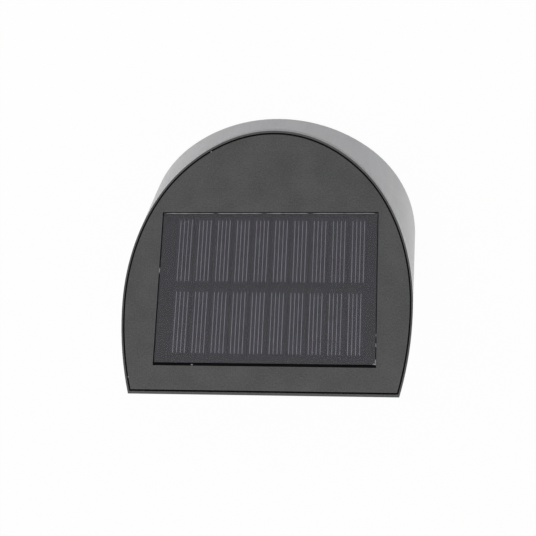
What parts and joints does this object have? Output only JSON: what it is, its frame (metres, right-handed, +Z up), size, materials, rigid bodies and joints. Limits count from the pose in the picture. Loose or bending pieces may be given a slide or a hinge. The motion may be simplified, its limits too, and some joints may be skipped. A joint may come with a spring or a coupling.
{
  "type": "fence light",
  "caption": "Solar fence light: a D-shaped wedge with a sloping solar panel on top, a frosted lens round the front and a flat back with keyholes.",
  "frame": {"origin": "centre of the flat base, under the middle of the bounding box", "axes": "+Z up, +Y out of the flat back towards the fence, -Y towards the curved front, +X along the width"},
  "size_m": [0.11, 0.075, 0.089],
  "materials": {
    "dark_plastic": "fine spark texture, near-black",
    "cover_plastic": "fine spark texture, near-black, satin",
    "frosted_lens": "frosted translucent grey-white",
    "white_plastic": "glossy white",
    "panel_film": "clear film over the cells",
    "panel_board": "dark laminate board",
    "silicon": "dark blue-grey cell strips with printed fingers",
    "tape": "foam tape",
    "seal_rubber": "black sealing rubber",
    "button_plastic": "dark grey button",
    "screw_steel": "zinc-plated steel",
    "spring_steel": "spring steel",
    "circuit_board": "green solder mask",
    "lamp_board": "white solder mask",
    "lamp": "warm-white lamps with yellow phosphor",
    "black_component": "moulded component body",
    "capacitor_can": "aluminium can",
    "battery_steel": "nickel-plated can",
    "battery_sleeve": "plain blue shrink sleeve",
    "red_wire": "red insulation",
    "black_wire": "black insulation"
  },
  "bodies": {
    "housing": {"lens": "frosted_lens", "back_housing": "dark_plastic", "cap_frame": "dark_plastic", "cover_seal": "seal_rubber", "solar_cover": "cover_plastic", "panel_tape": "tape", "panel_board": "panel_board", "solar_cells": "silicon", "panel_film": "panel_film", "base_plate": "dark_plastic", "base_seal": "seal_rubber", "button_spring": "spring_steel", "base_screws": "screw_steel", "cap_screws": "screw_steel", "reflector": "white_plastic", "tray_screws": "screw_steel", "led_board": "lamp_board", "leds": "lamp", "led_screws": "screw_steel", "control_board": "circuit_board", "control_chip": "black_component", "choke_coil": "black_component", "capacitor": "capacitor_can", "switch_body": "black_component", "board_screws": "screw_steel", "battery_holder": "dark_plastic", "holder_screws": "screw_steel", "battery_can": "battery_steel", "battery_sleeve": "battery_sleeve", "battery_contacts": "battery_steel", "battery_spring": "spring_steel", "panel_lead_red": "red_wire", "panel_lead_black": "black_wire", "battery_lead_red": "red_wire", "battery_lead_black": "black_wire", "led_lead_red": "red_wire", "led_lead_black": "black_wire"},
    "button": {"power_button": "button_plastic", "switch_stem": "white_plastic"}
  },
  "joints": [
    {"name": "button_press", "type": "slide", "parent": "housing", "child": "button", "axis": [0, 0, 1], "range_m": [0, 0.0009], "stiffness_N_per_m": 1200, "springref_m": -0.0005, "deforming": ["button_spring"]}
  ]
}
